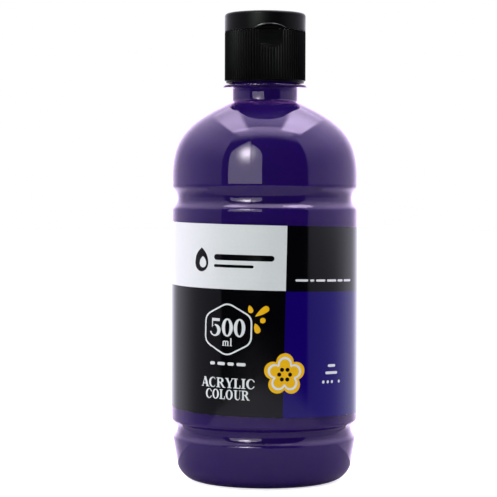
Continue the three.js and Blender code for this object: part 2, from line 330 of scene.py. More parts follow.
def outward(obj):
    """Makes a closed mesh's faces look out."""
    mesh = obj.data
    volume = 0
    mesh.calc_loop_triangles()
    for triangle in mesh.loop_triangles:
        a, b, c = (mesh.vertices[i].co for i in triangle.vertices)
        volume += a.dot(b.cross(c))
    if volume < 0:
        mesh.flip_normals()
    return obj


def combined(body, other, operation):
    """Joins or cuts a closed mesh with another, which is used up."""
    modifier = outward(body).modifiers.new("combine", "BOOLEAN")
    modifier.operation = operation
    modifier.object = outward(other)
    modifier.solver = "EXACT"
    graph = bpy.context.evaluated_depsgraph_get()
    mesh = bpy.data.meshes.new_from_object(body.evaluated_get(graph))
    body.modifiers.clear()
    body.data = mesh
    bpy.data.objects.remove(other)
    mesh.shade_smooth()
    mesh.set_sharp_from_angle(angle=SHARP_ANGLE)
    return body


# ---- Colours ----

CAP_BLACK = (0.0013, 0.0013, 0.0014, 1)
LID_BLACK = (0.0013, 0.0013, 0.0015, 1)
LIP_BLACK = (0.0014, 0.0014, 0.0016, 1)
PAINT_DARK = (0.0065, 0.0008, 0.05, 1)
PAINT_LIGHT = (0.01, 0.0012, 0.068, 1)
INK_BLACK = (0.0012, 0.0012, 0.002, 1)
INK_WHITE = (0.69, 0.705, 0.71, 1)
INK_PURPLE = (0.007, 0.0003, 0.125, 1)
INK_YELLOW = (0.85, 0.46, 0.003, 1)
FOIL_DARK = (0.75, 0.76, 0.78, 1)
FOIL_LIGHT = (0.85, 0.86, 0.88, 1)
FOAM_LIGHT = (0.9, 0.9, 0.87, 1)
FOAM_DARK = (0.72, 0.72, 0.7, 1)


# ---- Node helpers ----


class Nodes:
    """Makes nodes in one tree, with values and links given together."""

    def __init__(self, tree):
        self.tree = tree
        self.tree.nodes.clear()

    def add(self, kind, inputs=None, **settings):
        node = self.tree.nodes.new(kind)
        for key, value in settings.items():
            setattr(node, key, value)
        for key, value in (inputs or {}).items():
            self.feed(node.inputs[key], value)
        return node

    def feed(self, socket, value):
        if isinstance(value, bpy.types.NodeSocket):
            self.tree.links.new(value, socket)
        else:
            socket.default_value = value

    def maths(self, operation, *values):
        return self.add("ShaderNodeMath", dict(enumerate(values)), operation=operation).outputs[0]

    def dot(self, vector, direction):
        inputs = {0: vector, 1: direction}
        return self.add("ShaderNodeVectorMath", inputs, operation="DOT_PRODUCT").outputs["Value"]

    def ramp(self, value, start, end, low=0.0, high=1.0):
        """Goes smoothly from low at start to high at end; start may be the larger."""
        if start > end:
            start, end, low, high = end, start, high, low
        inputs = {"Value": value, "From Min": start, "From Max": end, "To Min": low, "To Max": high}
        return self.add("ShaderNodeMapRange", inputs, interpolation_type="SMOOTHSTEP").outputs[0]

    def product(self, first, *others):
        result = first
        for value in others:
            result = self.maths("MULTIPLY", result, value)
        return result

    def total(self, first, *others):
        result = first
        for value in others:
            result = self.maths("ADD", result, value)
        return result

    def within(self, value, low, high, soft):
        """One between low and high, fading to nothing over soft on each side of both."""
        rising = self.ramp(value, low - soft, low + soft)
        falling = self.ramp(value, high + soft, high - soft)
        return self.product(rising, falling)

    def spread(self, noise, low, high):
        """Noise lies mostly between 0.3 and 0.7; this spreads it from low to high."""
        return self.ramp(noise, 0.3, 0.7, low, high)

    def noise(self, scale, detail=2.0, roughness=0.5, stretch=(1, 1, 1)):
        """Noise in the piece's own metres; a scale of 1000 has one cell to a millimetre."""
        place = self.add("ShaderNodeTexCoord").outputs["Object"]
        mapped = self.add("ShaderNodeMapping", {"Vector": place, "Scale": stretch}).outputs[0]
        inputs = {"Vector": mapped, "Scale": scale, "Detail": detail, "Roughness": roughness}
        return self.add("ShaderNodeTexNoise", inputs).outputs["Fac"]

    def bump(self, height, distance, strength=1.0):
        inputs = {"Height": height, "Distance": distance, "Strength": strength}
        return self.add("ShaderNodeBump", inputs).outputs["Normal"]

    def mix_colours(self, factor, first, second):
        node = self.add("ShaderNodeMix", data_type="RGBA")
        self.feed(node.inputs[0], factor)
        self.feed(node.inputs[6], first)
        self.feed(node.inputs[7], second)
        return node.outputs[2]

    def finish(self, shader):
        self.add("ShaderNodeOutputMaterial", {"Surface": shader})


def material(name):
    made = bpy.data.materials.new(name)
    made.use_nodes = True
    return made, Nodes(made.node_tree)


def scaled(colour, factor):
    return tuple(c * factor for c in colour[:3]) + (1,)


def moulded(name, colour, roughness, unevenness, grain, grain_height, specular):
    """An opaque plastic with uneven gloss and a fine grain."""
    made, nodes = material(name)
    patches = nodes.noise(180, detail=4)
    paler = scaled(colour, 1.25)
    shader = nodes.add(
        "ShaderNodeBsdfPrincipled",
        {
            "Base Color": nodes.mix_colours(patches, colour, paler),
            "Roughness": nodes.spread(patches, roughness - unevenness, roughness + unevenness),
            "Specular IOR Level": specular,
            "Normal": nodes.bump(nodes.noise(grain, detail=3), grain_height * MM),
        },
    )
    nodes.finish(shader.outputs[0])
    return made


def cap_plastic():
    return moulded("cap_plastic", CAP_BLACK, 0.4, 0.05, grain=2600, grain_height=0.01, specular=0.09)


def lid_plastic():
    return moulded("lid_plastic", LID_BLACK, 0.36, 0.04, grain=1500, grain_height=0.004, specular=0.12)


def lip_plastic():
    """The same black as the lid's, but with a much brighter gloss."""
    return moulded("lip_plastic", LIP_BLACK, 0.16, 0.03, grain=1500, grain_height=0.002, specular=0.6)


def clear_plastic():
    """Clear bottle plastic with the slight waves that blowing leaves. Lamps shine through it."""
    made, nodes = material("clear_plastic")
    waves = nodes.bump(nodes.noise(60, detail=1), distance=0.02 * MM, strength=0.5)
    glass = nodes.add(
        "ShaderNodeBsdfGlass",
        {"Color": (0.98, 0.82, 1, 1), "Roughness": 0.02, "IOR": 1.57, "Normal": waves},
    )
    clear = nodes.add("ShaderNodeBsdfTransparent", {"Color": (0.95, 0.95, 0.97, 1)})
    is_shadow = nodes.add("ShaderNodeLightPath").outputs["Is Shadow Ray"]
    mixed = nodes.add("ShaderNodeMixShader", {0: is_shadow, 1: glass.outputs[0], 2: clear.outputs[0]})
    nodes.finish(mixed.outputs[0])
    return made


def purple_paint():
    """Deep violet paint, a little unevenly mixed, as it looks against the inside of the wall."""
    made, nodes = material("purple_paint")
    swirls = nodes.noise(45, detail=5, stretch=(1, 1, 0.35))
    shader = nodes.add(
        "ShaderNodeBsdfPrincipled",
        {
            "Base Color": nodes.mix_colours(swirls, PAINT_DARK, PAINT_LIGHT),
            "Roughness": nodes.spread(swirls, 0.45, 0.6),
            "Specular IOR Level": 0.05,
            "Normal": nodes.bump(nodes.noise(120, detail=2), distance=0.02 * MM, strength=0.3),
        },
    )
    nodes.finish(shader.outputs[0])
    return made


# ---- Bottle ----


def dome_outline(steps):
    top_radius = NECK_RADIUS + NECK_FOOT_FILLET
    pulled_radius = top_radius + DOME_TOP_PULL * math.cos(DOME_TOP_SLOPE)
    pulled_height = DOME_TOP_HEIGHT - DOME_TOP_PULL * math.sin(DOME_TOP_SLOPE)
    controls = (
        (BODY_RADIUS, DOME_FOOT_HEIGHT),
        (BODY_RADIUS, DOME_FOOT_HEIGHT + DOME_FOOT_PULL),
        (pulled_radius, pulled_height),
        (top_radius, DOME_TOP_HEIGHT),
    )
    return bezier(controls, steps)


def groove_outline(start_radius, height, half_width, steps):
    shoulder = half_width * GROOVE_EDGE_SOFTNESS
    valley = half_width * GROOVE_FLOOR_SOFTNESS
    low = height - half_width
    high = height + half_width
    bottom = (GROOVE_RADIUS, height)
    down = ((start_radius, low), (start_radius, low + shoulder), (GROOVE_RADIUS, height - valley), bottom)
    up = (bottom, (GROOVE_RADIUS, height + valley), (BODY_RADIUS, high - shoulder), (BODY_RADIUS, high))
    return bezier(down, steps) + bezier(up, steps)[1:]


def body_outline(steps=12):
    """Half of the body, from the middle of the base up to the foot of the neck."""
    middle = (0, PUSH_UP)
    pulled = (CONTACT_INNER_RADIUS * PUSH_UP_FLATNESS, PUSH_UP)
    corner = (CONTACT_OUTER_RADIUS, BASE_CORNER_RADIUS)
    return [
        *bezier((middle, pulled, (CONTACT_INNER_RADIUS, 0)), steps),
        *arc(corner, BASE_CORNER_RADIUS, -math.pi / 2, -BASE_TAPER, steps),
        *groove_outline(BASE_LIP_RADIUS, LOWER_GROOVE_HEIGHT, LOWER_GROOVE_HALF_WIDTH, steps),
        (BODY_RADIUS, LOWER_GROOVE_HEIGHT + LOWER_GROOVE_HALF_WIDTH + GROOVE_SUPPORT),
        (BODY_RADIUS, UPPER_GROOVE_HEIGHT - UPPER_GROOVE_HALF_WIDTH - GROOVE_SUPPORT),
        *groove_outline(BODY_RADIUS, UPPER_GROOVE_HEIGHT, UPPER_GROOVE_HALF_WIDTH, steps),
        (BODY_RADIUS, UPPER_GROOVE_HEIGHT + UPPER_GROOVE_HALF_WIDTH + GROOVE_SUPPORT),
        *dome_outline(2 * steps),
    ]


def neck_outline():
    foot = DOME_TOP_HEIGHT + NECK_FOOT_FILLET
    corners = [
        (NECK_RADIUS, foot),
        (NECK_RADIUS, RING_BOTTOM),
        (RING_RADIUS, RING_BOTTOM + RING_UNDERSIDE_RISE),
        (RING_RADIUS, RING_TOP - RING_TOP_FALL),
        (FINISH_RADIUS, RING_TOP),
        (FINISH_RADIUS, MOUTH_HEIGHT),
        (BORE_RADIUS, MOUTH_HEIGHT),
        (BORE_RADIUS, foot),
    ]
    return softened(corners, NECK_CORNER)


def neck_fillet():
    start = (NECK_RADIUS + NECK_FOOT_FILLET, DOME_TOP_HEIGHT)
    end = (NECK_RADIUS, DOME_TOP_HEIGHT + NECK_FOOT_FILLET)
    middle = (NECK_RADIUS + NECK_FILLET_PULL[0], DOME_TOP_HEIGHT + NECK_FILLET_PULL[1])
    return bezier((start, middle, end), 4)[1:-1]


def seam_angles():
    """Even steps round the bottle, with more of them across each mould seam."""
    half = SEAM_WIDTH / BODY_RADIUS
    extra = [seam + half * k / 2 for seam in SEAM_ANGLES for k in (-2, -1, 0, 1, 2)]
    even = [a for a in even_angles(TURN_STEPS) if all(abs(a - e) > half for e in extra)]
    return sorted(angle % (2 * math.pi) for angle in even + extra)


def seam_ridge(radius, height, angle):
    """The parting line of the mould, a faint ridge up each side of the outer wall."""
    if radius < SEAM_LEAST_RADIUS or height > RING_BOTTOM:
        return radius
    for seam in SEAM_ANGLES:
        away = abs(math.remainder(angle - seam, 2 * math.pi)) * BODY_RADIUS / SEAM_WIDTH
        if away < 1:
            return radius + SEAM_HEIGHT * (1 + math.cos(math.pi * away)) / 2
    return radius


def bottle():
    outer = body_outline()
    inner = inset(outer, WALL)[::-1]
    outline = [*outer, *neck_fillet(), *neck_outline(), *inner]
    shell = turned("bottle_shell", outline, seam_angles(), seam_ridge)
    foot = FINISH_RADIUS - THREAD_SUNK
    ridge = thread_ridge("thread", foot, BOTTLE_THREAD_RADIUS, THREAD_START_HEIGHT)
    return combined(shell, ridge, "UNION")


def paint():
    """The paint wets the wall, so it reaches a hair's breadth into it and leaves no film of air."""
    side = inset(body_outline(), WALL - PAINT_CONTACT)
    neck = BORE_RADIUS + PAINT_CONTACT
    top = [(neck, DOME_TOP_HEIGHT + NECK_FOOT_FILLET), (neck, PAINT_TOP), (0, PAINT_TOP)]
    return turned("paint", [*side, *softened(top, PAINT_TOP_CORNER)])


# ---- Cap ----


def rib_angles():
    return even_angles(RIB_COUNT * RIB_STEPS)


def ribbed(radius, height, angle):
    """Rounded ribs on the outer wall between the plain band and the deck."""
    if radius < RIB_LEAST_RADIUS or height < RIB_BOTTOM:
        return radius
    return radius - RIB_DEPTH * abs(math.sin(angle * RIB_COUNT / 2)) ** RIB_SHARPNESS


def scoop_cutter():
    clear = 2 * CAP_RADIUS
    centre = (-RECESS_FLOOR - RECESS_ARC_RADIUS, RECESS_ARC_TOP)
    side = [(-RECESS_FLOOR, DECK_TOP + 1), *arc(centre, RECESS_ARC_RADIUS, 0, -math.pi / 2, 20)]
    side += [(-clear, RECESS_ARC_TOP - RECESS_ARC_RADIUS), (-clear, DECK_TOP + 1)]
    return prism("scoop", [(-CAP_RADIUS, y, z) for y, z in side], (2 * CAP_RADIUS, 0, 0))


def crown_points(steps):
    """The arch of the lid's lip, as (x, z) from right to left."""
    pulled = (0, 2 * RECESS_CROWN_HEIGHT - RECESS_SIDE_HEIGHT)
    side = RECESS_HALF_WIDTH
    return bezier(((side, RECESS_SIDE_HEIGHT), pulled, (-side, RECESS_SIDE_HEIGHT)), steps)


def lip_cutter():
    front = [(-RECESS_HALF_WIDTH, DECK_TOP), (RECESS_HALF_WIDTH, DECK_TOP), *crown_points(24)]
    base = [(x, -2 * CAP_RADIUS, z) for x, z in front]
    return prism("lip", base, (0, 2 * CAP_RADIUS - RECESS_FLOOR, 0))


def hinge_cutter():
    half = HINGE_CUT_HALF_WIDTH
    base = [(-half, HINGE_SEAT), (half, HINGE_SEAT), (half, 2 * HINGE_SEAT), (-half, 2 * HINGE_SEAT)]
    low = HINGE_HEIGHT - HINGE_CUT_HEIGHT / 2
    return prism("hinge_cut", [(x, y, low) for x, y in base], (0, 0, HINGE_CUT_HEIGHT))


def cap_base():
    corners = [
        (CAP_BORE_RADIUS, DECK_UNDERSIDE),
        (CAP_BORE_RADIUS, CAP_BOTTOM),
        (PLAIN_BAND_RADIUS, CAP_BOTTOM),
        (PLAIN_BAND_RADIUS, RIB_BOTTOM - RIB_STEP_HEIGHT),
        (CAP_RADIUS, RIB_BOTTOM),
        (CAP_RADIUS, DECK_TOP),
        (SPOUT_FOOT_RADIUS, DECK_TOP),
        (SPOUT_TIP_RADIUS, SPOUT_TOP),
        (ORIFICE_RADIUS, SPOUT_TOP),
        (ORIFICE_RADIUS, DECK_UNDERSIDE),
    ]
    outline = softened(corners, CAP_CORNER, 2)
    base = turned("cap_base_ribbed", outline, rib_angles(), ribbed, closed=True)
    start = THREAD_START_HEIGHT - THREAD_PITCH / 2
    ridge = thread_ridge("thread", CAP_BORE_RADIUS + THREAD_SUNK, CAP_THREAD_RADIUS, start)
    combined(base, ridge, "UNION")
    combined(base, scoop_cutter(), "DIFFERENCE")
    return combined(base, hinge_cutter(), "DIFFERENCE")


def thumb_lip():
    """The small eave of the lid over the recess, which follows the arch and dies out at its ends."""
    spine = [(x, -math.sqrt(CAP_RADIUS**2 - x**2), z) for x, z in crown_points(32)]
    top_of_edge = (LIP_REACH, LIP_EDGE)
    flare = bezier(((0, LIP_HEIGHT), (0.02, LIP_HEIGHT * 0.4), top_of_edge), 8)
    edge = bezier((top_of_edge, (LIP_REACH + 0.06, -0.06), (LIP_REACH - 0.2, -0.02)), 5)[1:]
    section = [*flare, *edge, (-LIP_SUNK, 0), (-LIP_SUNK, LIP_HEIGHT)]
    across = len(section)
    vertices, faces = [], []
    for i, centre in enumerate(spine):
        share = math.sin(math.pi * (i + 0.5) / len(spine)) ** LIP_END_FADE
        out = Vector((centre[0], centre[1], 0)).normalized()
        for x, y in section:
            reach = x * share if x > 0 else x
            rise = Vector((0, 0, y * share))
            vertices.append(Vector(centre) + out * reach + rise)
    for i in range(len(spine) - 1):
        for k in range(across):
            j = (k + 1) % across
            faces.append([across * i + k, across * i + j, across * (i + 1) + j, across * (i + 1) + k])
    faces.append(list(range(across))[::-1])
    faces.append([across * (len(spine) - 1) + k for k in range(across)])
    return outward(mesh_object("thumb_lip", vertices, faces))


def flip_lid():
    corners = [
        (0, PIN_BOTTOM),
        (PIN_TIP_RADIUS, PIN_BOTTOM),
        (PIN_RADIUS, PIN_BOTTOM + PIN_TAPER_HEIGHT),
        (PIN_RADIUS, LID_CEILING),
        (LID_INSIDE_RADIUS, LID_CEILING),
        (LID_INSIDE_RADIUS, LID_BOTTOM),
        (CAP_RADIUS, LID_BOTTOM),
    ]
    edge = arc((CAP_RADIUS - LID_EDGE, LID_TOP - LID_EDGE), LID_EDGE, 0, math.pi / 2, 6)
    outline = [*softened(corners, CAP_CORNER, 2), *edge, (CAP_RADIUS * 0.5, LID_TOP), (0, LID_TOP)]
    lid = turned("flip_lid_shell", outline)
    combined(lid, lip_cutter(), "DIFFERENCE")
    return combined(lid, hinge_cutter(), "DIFFERENCE")


# ---- Hinge and seals ----


def hinge_strip(node):
    """A thin strip with many rows up it, waisted a little at the hinge line."""
    low, high = low_mm(node), high_mm(node)
    rows = HINGE_ROWS
    vertices, faces = [], []
    for i in range(rows + 1):
        t = i / rows
        waist = HINGE_WAIST * math.exp(-(((t - 0.5) / HINGE_WAIST_SPREAD) ** 2))
        middle = (low.y + high.y) / 2
        half = (high.y - low.y) / 2 * (1 - waist)
        z = low.z + (high.z - low.z) * t
        near, far = middle - half, middle + half
        vertices += [(low.x, near, z), (high.x, near, z), (high.x, far, z), (low.x, far, z)]
    for i in range(rows):
        for k in range(4):
            j = (k + 1) % 4
            faces.append([4 * i + k, 4 * i + j, 4 * i + 4 + j, 4 * i + 4 + k])
    faces.append([3, 2, 1, 0])
    faces.append([4 * rows + k for k in range(4)])
    return mesh_object(node + "_strip", vertices, faces)


def foil_seal():
    """The disc sealed on the mouth, dished a little where it isn't held by the rim."""
    low, high = low_mm("foil_seal"), high_mm("foil_seal")
    radius = high.x
    rim = [(0, low.z), (radius, low.z), (radius, high.z), (BORE_RADIUS, high.z)]
    floor_height = high.z - FOIL_DISH_DEPTH
    dished = [(BORE_RADIUS - FOIL_DISH_MARGIN, floor_height), (0, floor_height)]
    return turned("foil_disc", softened([*rim, *dished], FOIL_CORNER, 2))


def cap_gasket():
    low, high = low_mm("cap_gasket"), high_mm("cap_gasket")
    inner = GASKET_INNER_RADIUS
    outline = [(inner, low.z), (high.x, low.z), (high.x, high.z), (inner, high.z)]
    return turned("foam_washer", softened([*outline, outline[0]], GASKET_CORNER, 2), closed=True)


# ---- Label art ----

BLACK, WHITE, PURPLE, YELLOW = range(4)


def rectangle(left, bottom, right, top):
    return [(left, bottom), (right, bottom), (right, top), (left, top)]


def oval(u, v, half_width, half_height, steps=28):
    circle = arc((0, 0), 1, 0, 2 * math.pi, steps)[:-1]
    return [(u + half_width * x, v + half_height * y) for x, y in circle]


def pill(left, bottom, right, top):
    """A bar with round ends."""
    radius = (top - bottom) / 2
    middle = (bottom + top) / 2
    quarter = math.pi / 2
    right_end = arc((right - radius, middle), radius, -quarter, quarter, 6)
    left_end = arc((left + radius, middle), radius, quarter, 3 * quarter, 6)
    return right_end + left_end


def teardrop(u, v, length, width, turn):
    """A drop with its round end at (u, v) and its point length away, turned from straight up."""
    round_end = arc((0, 0), width / 2, math.pi, 2 * math.pi, 14)
    right = bezier(((width / 2, 0), (width / 2, length * 0.4), (0, length - width / 2)), 6)[1:]
    left = [(-x, y) for x, y in right[-2::-1]]
    sin, cos = math.sin(turn), math.cos(turn)
    points = round_end + right + left[:-1]
    return [(u + x * cos + y * sin, v - x * sin + y * cos) for x, y in points]


def rounded_hexagon(u, v, half_width, half_height, cut):
    """A hexagon with a corner at the top, its corners rounded."""
    waist = half_height * 0.5
    corners = [
        (0, half_height),
        (-half_width, waist),
        (-half_width, -waist),
        (0, -half_height),
        (half_width, -waist),
        (half_width, waist),
    ]
    loop = softened([corners[-1], *corners, corners[0]], cut, 5)[1:-1]
    return [(u + x, v + y) for x, y in loop]


def serif(x, y, width, height=0.07):
    """The flat foot of a stem, centred on x."""
    return rectangle(x - width / 2, y, x + width / 2, y + height)


def stem(x, width, bottom=0.0, top=1.0):
    feet = [serif(x, bottom, width * 2), serif(x, top - 0.07, width * 2)]
    return [rectangle(x - width / 2, bottom, x + width / 2, top), *feet]


def slanted(x0, y0, x1, y1, width):
    half = width / 2
    return [(x0 - half, y0), (x0 + half, y0), (x1 + half, y1), (x1 - half, y1)]


def glyph(letter):
    """(width, inked polygons, polygons cleared from them) of a bold serif letter one unit high."""
    bold, thin = 0.22, 0.08
    if letter == "0":
        return 0.82, [oval(0.38, 0.5, 0.38, 0.52)], [oval(0.38, 0.5, 0.15, 0.43)]
    if letter == "O":
        return 0.98, [oval(0.45, 0.5, 0.45, 0.52)], [oval(0.45, 0.5, 0.21, 0.44)]
    if letter == "C":
        ink = [oval(0.45, 0.5, 0.45, 0.52)]
        cleared = [oval(0.5, 0.5, 0.26, 0.44), rectangle(0.68, 0.27, 0.95, 0.7)]
        return 0.92, ink, cleared + [rectangle(0.85, 0, 1, 1)]
    if letter == "5":
        ink = [oval(0.34, 0.32, 0.4, 0.34), rectangle(0.1, 0.84, 0.66, 1)]
        ink.append(rectangle(0.1, 0.45, 0.17, 0.95))
        cleared = [oval(0.28, 0.32, 0.22, 0.26), rectangle(-0.1, 0.24, 0.1, 0.7)]
        return 0.82, ink, cleared + [rectangle(0.17, 0.58, 0.3, 0.84), rectangle(0.1, 0.3, 0.17, 0.45)]
    if letter == "A":
        ink = [slanted(0.12, 0, 0.42, 1, thin), slanted(0.76, 0, 0.42, 1, bold * 1.15)]
        bar = rectangle(0.2, 0.27, 0.65, 0.35)
        return 0.92, [*ink, bar, serif(0.12, 0, 0.26), serif(0.76, 0, 0.38)], []
    if letter == "R":
        ink = [*stem(0.18, bold), oval(0.4, 0.74, 0.36, 0.26), slanted(0.8, 0, 0.46, 0.5, bold)]
        cleared = [oval(0.38, 0.74, 0.14, 0.18), rectangle(-0.2, 0.08, 0.06, 0.92)]
        return 0.95, [*ink, serif(0.82, 0, 0.3)], cleared
    if letter == "Y":
        ink = [slanted(0.44, 0.42, 0.16, 1, bold), slanted(0.46, 0.42, 0.78, 1, thin)]
        foot = [rectangle(0.34, 0, 0.56, 0.5), serif(0.45, 0, 0.44)]
        return 0.9, [*ink, *foot, serif(0.16, 0.93, 0.36), serif(0.78, 0.93, 0.26)], []
    if letter == "L":
        return 0.78, [*stem(0.2, bold), rectangle(0.2, 0, 0.7, thin), rectangle(0.62, 0, 0.7, 0.32)], []
    if letter == "I":
        return 0.5, stem(0.22, bold), []
    if letter == "U":
        ink = [oval(0.48, 0.34, 0.34, 0.36), rectangle(0.14, 0.34, 0.36, 1)]
        ink.append(rectangle(0.74, 0.34, 0.82, 1))
        cleared = [oval(0.55, 0.34, 0.19, 0.28), rectangle(0.36, 0.34, 0.74, 0.9)]
        return 0.98, [*ink, serif(0.25, 0.93, 0.44), serif(0.78, 0.93, 0.26)], cleared
    if letter == "l":
        return 0.46, [rectangle(0.14, 0, 0.32, 1.05), serif(0.23, 0, 0.4), serif(0.16, 0.98, 0.2)], []
    if letter == "m":
        ink = [rectangle(x, 0, x + 0.17, 0.62) for x in (0.1, 0.47, 0.84)]
        ink += [oval(0.4, 0.5, 0.24, 0.2), oval(0.77, 0.5, 0.24, 0.2)]
        cleared = [rectangle(0.27, 0.1, 0.47, 0.56), rectangle(0.64, 0.1, 0.84, 0.56)]
        return 1.15, [*ink, *(serif(x + 0.085, 0, 0.28) for x in (0.1, 0.47, 0.84))], cleared
    raise ValueError(letter)


def lettering(word, left, right, bottom, top, ink, ground):
    """A word drawn to fill the box from left to right, in paint order."""
    total = sum(glyph(letter)[0] for letter in word)
    scale_u = (right - left) / (total - 0.08)
    scale_v = top - bottom
    shapes = []
    x = 0
    for letter in word:
        width, inked, cleared = glyph(letter)
        for colour, polygons in ((ink, inked), (ground, cleared)):
            for polygon in polygons:
                placed = [(left + (x + px) * scale_u, bottom + py * scale_v) for px, py in polygon]
                shapes.append((colour, placed))
        x += width
    return shapes


def word_bars(left, v, height, widths, ink, gap=0.8):
    """A line of small print shown as plain bars, one to a word."""
    shapes = []
    for width in widths:
        shapes.append((ink, pill(left, v - height / 2, left + width, v + height / 2)))
        left += width + gap
    return shapes


def flower(u, v, radius, petals):
    """A plain round-petalled flower with a white line inside its edge and a ring of dots."""
    shapes = []
    for colour, share, reach in ((YELLOW, 0.42, 0.58), (WHITE, 0.33, 0.5), (YELLOW, 0.25, 0.47)):
        for x, y in arc((u, v), radius * reach, math.pi / 2, 2.5 * math.pi, petals)[:-1]:
            shapes.append((colour, oval(x, y, radius * share, radius * share)))
        shapes.append((colour, oval(u, v, radius * reach, radius * reach)))
    for x, y in arc((u, v), radius * 0.26, 0, 2 * math.pi, petals + 1)[:-1]:
        shapes.append((BLACK, oval(x, y, radius * 0.1, radius * 0.1, 12)))
    return shapes


PANEL_EDGE = 7.75
PANEL_FOOT = 75.5
WHITE_START = -68
WINDOW_END = 66


def front_art():
    badge = (-14.2, 60.5)
    shapes = [
        (WHITE, rectangle(WHITE_START, PANEL_FOOT, PANEL_EDGE, LABEL_TOP)),
        (PURPLE, rectangle(PANEL_EDGE, LABEL_BOTTOM, WINDOW_END, PANEL_FOOT - 0.2)),
        (BLACK, teardrop(-26.3, 85, 9, 6.6, 0)),
        (WHITE, teardrop(-25.6, 84.8, 4.2, 3.2, 0)),
        (BLACK, pill(-20.4, 86.3, 3.2, 88.5)),
        (BLACK, pill(-20.4, 83.6, -4.5, 84.7)),
        (WHITE, rounded_hexagon(*badge, 9.7, 10.3, 2.6)),
        (BLACK, rounded_hexagon(*badge, 9.1, 9.65, 2.4)),
        *lettering("500", -21.3, -7.2, 57.9, 64.5, WHITE, BLACK),
        *lettering("ml", -16.2, -12.2, 54.3, 57.1, WHITE, BLACK),
        *word_bars(-21.2, 47.6, 1.2, (2.2, 3.2, 2.6, 3.6), WHITE, 1.0),
        *lettering("ACRYLIC", -25, -3.1, 38.6, 42.3, WHITE, BLACK),
        *lettering("COLOUR", -22.9, -5.1, 34.3, 37.9, WHITE, BLACK),
        (YELLOW, teardrop(-5.2, 67.9, 3.0, 1.9, -0.3)),
        (YELLOW, teardrop(0.5, 68.6, 6.2, 2.4, -2.2)),
        (YELLOW, oval(-0.6, 64.3, 1.05, 1.05, 16)),
        (YELLOW, teardrop(-2.5, 60.6, 3.9, 2.3, -0.35)),
        *flower(8.1, 44.3, 8.0, 5),
        *word_bars(11.4, 79.5, 0.85, (5.2, 1.8, 4.4, 5.0, 3.2, 5.4), WHITE),
        *word_bars(26.5, 47.4, 1.0, (4.0,), WHITE),
        *word_bars(25.3, 44.7, 1.0, (6.4,), WHITE),
    ]
    dots = [(WHITE, oval(u, 41.3, 0.6, 0.6, 12)) for u in (24.4, 26.6, 28.8, 32.8)]
    return shapes + dots


def back_art():
    """Plain small print on the back of the label, shown as bars in two columns."""
    shapes = [(WHITE, rectangle(WINDOW_END + 4, 78.2, WINDOW_END + 34, 78.6))]
    lengths = ((7, 3, 9, 5), (4, 8, 6, 6), (9, 2, 5, 8), (6, 6, 3, 7), (5, 9, 4), (3, 5, 8, 6), (8, 7))
    for row, widths in enumerate(lengths):
        shapes += word_bars(WINDOW_END + 4, 74.5 - 3.2 * row, 1.1, widths, WHITE)
        shapes += word_bars(WHITE_START - 34, 70.5 - 3.2 * row, 1.1, widths[::-1], WHITE)
    return shapes


def label():
    """The printed film: flat art cut into upright strips, wrapped round the body, with a thickness."""
    end = math.pi - FACET_HALF_ANGLE
    left = LABEL_OUTER_RADIUS * (-end - LABEL_CENTRE)
    right = LABEL_OUTER_RADIUS * (end - LABEL_CENTRE)
    edges = [left + (right - left) * i / TURN_STEPS for i in range(TURN_STEPS + 1)]
    shapes = [(BLACK, rectangle(a, LABEL_BOTTOM, b, LABEL_TOP)) for a, b in zip(edges, edges[1:])]
    shapes += front_art() + back_art()
    points, polygons = [], []
    for _, polygon in shapes:
        polygons.append(list(range(len(points), len(points) + len(polygon))))
        points.extend(Vector(p) for p in polygon)
    flat, _, triangles, _, _, sources = delaunay_2d_cdt(points, [], polygons, 1, 1e-4, True)
    inks = [shapes[max(ids)][0] for ids in sources]
    middle = (LABEL_BOTTOM + LABEL_TOP) / 2
    count = len(flat)
    vertices = []
    for radius in (LABEL_OUTER_RADIUS, LABEL_OUTER_RADIUS - LABEL_THICKNESS):
        for u, v in flat:
            turn = LABEL_CENTRE + (u + (v - middle) * LABEL_TILT) / LABEL_OUTER_RADIUS
            height = v - u * LABEL_TILT
            vertices.append((radius * math.sin(turn), -radius * math.cos(turn), height))
    faces = [list(t) for t in triangles] + [[count + i for i in reversed(t)] for t in triangles]
    inks += [BLACK] * len(triangles)
    directed = {(a, b) for t in triangles for a, b in zip(t, [*t[1:], t[0]])}
    rim = sorted((a, b) for a, b in directed if (b, a) not in directed)
    faces += [[b, a, count + a, count + b] for a, b in rim]
    inks += [BLACK] * len(rim)
    obj = mesh_object("printed_label", vertices, faces, FILM_SHARP_ANGLE)
    obj.data.polygons.foreach_set("material_index", inks)
    return outward(obj)


def ink(name, colour, roughness):
    """Printing ink under a thin clear film: its own colour, slightly uneven, with a satin gloss."""
    made, nodes = material(name)
    mottle = nodes.noise(900, detail=3)
    drift = nodes.noise(40, detail=2)
    shader = nodes.add(
        "ShaderNodeBsdfPrincipled",
        {
            "Base Color": nodes.mix_colours(mottle, colour, scaled(colour, 0.93)),
            "Roughness": nodes.spread(drift, roughness - 0.03, roughness + 0.03),
            "Specular IOR Level": 0.5,
            "Normal": nodes.bump(drift, distance=0.03 * MM, strength=0.5),
        },
    )
    nodes.finish(shader.outputs[0])
    return made


# ---- Pieces ----


def place(obj, body, slot, nodes, materials):
    for made in materials:
        obj.data.materials.append(made)
    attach(obj, body)
    if nodes:
        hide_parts(*nodes)
    return obj


def seal_foil():
    made, nodes = material("seal_foil")
    dimples = nodes.add("ShaderNodeTexVoronoi", {"Scale": 700}).outputs["Distance"]
    shader = nodes.add(
        "ShaderNodeBsdfPrincipled",
        {
            "Base Color": nodes.mix_colours(nodes.noise(150), FOIL_DARK, FOIL_LIGHT),
            "Metallic": 1.0,
            "Roughness": nodes.spread(nodes.noise(300), 0.22, 0.34),
            "Normal": nodes.bump(dimples, distance=0.05 * MM),
        },
    )
    nodes.finish(shader.outputs[0])
    return made


